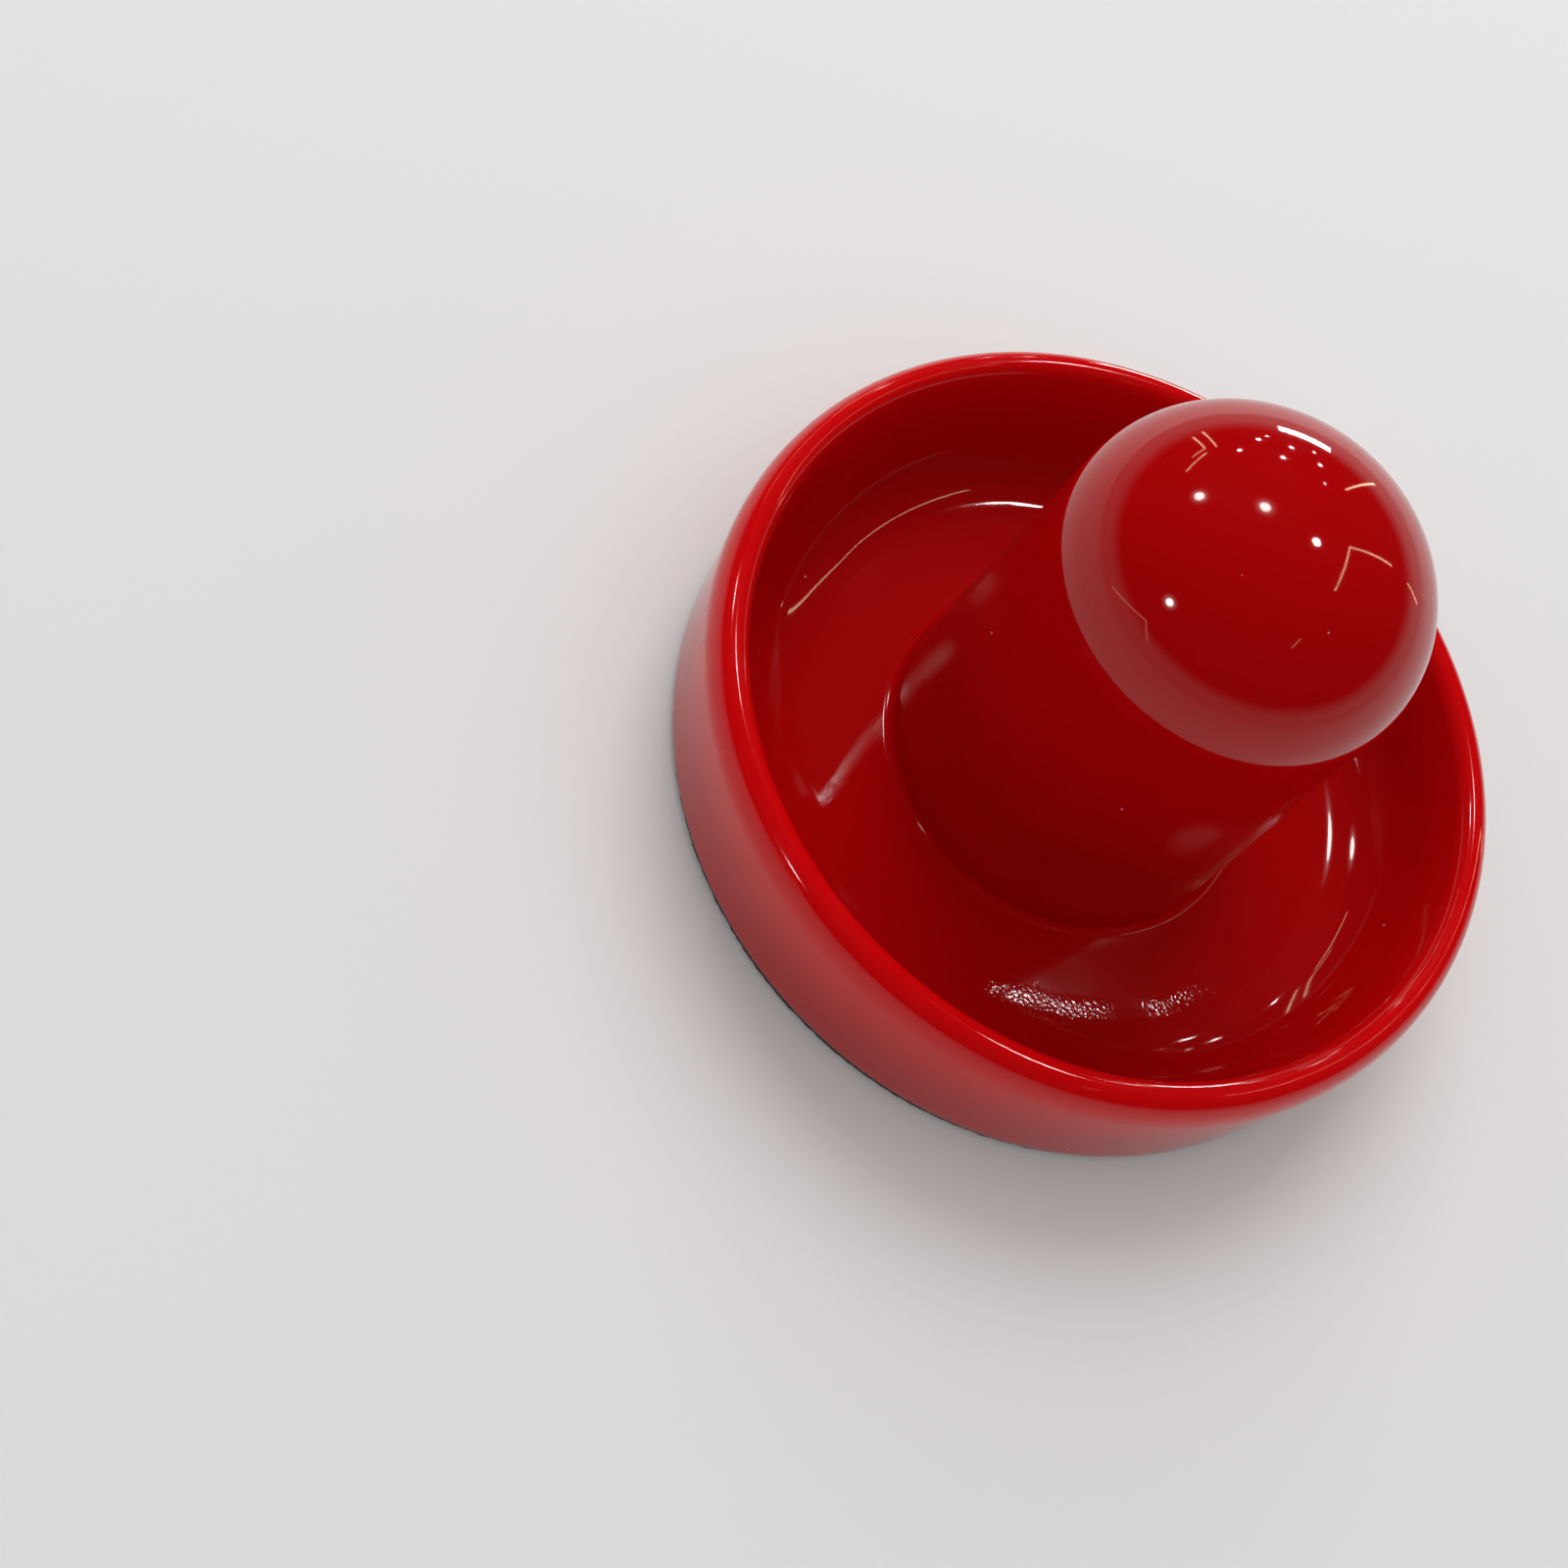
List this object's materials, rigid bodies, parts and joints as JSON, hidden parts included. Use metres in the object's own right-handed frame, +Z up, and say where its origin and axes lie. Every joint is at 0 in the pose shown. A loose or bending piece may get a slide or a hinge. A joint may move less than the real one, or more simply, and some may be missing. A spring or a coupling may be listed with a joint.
{
  "type": "air hockey mallet",
  "caption": "Round air hockey mallet: a glossy hollow moulding with a rounded rim, a finger dish and a domed knob, closed underneath by a plate and a gliding felt pad.",
  "frame": {"origin": "centre of the felt pad's underside, the face that rests on the table", "axes": "+Z up the axis of the knob; X and Y across the base, with a rib of the hidden rim on +X"},
  "size_m": [0.096, 0.096, 0.06],
  "materials": {
    "red_gloss_abs": "mirror-gloss moulded ABS",
    "black_styrene": "plain moulded styrene",
    "clear_adhesive": "double-sided adhesive",
    "black_felt": "pressed felt"
  },
  "bodies": {
    "root": {"shell": "red_gloss_abs", "base_plate": "black_styrene", "adhesive_film": "clear_adhesive", "felt_pad": "black_felt"}
  },
  "joints": []
}
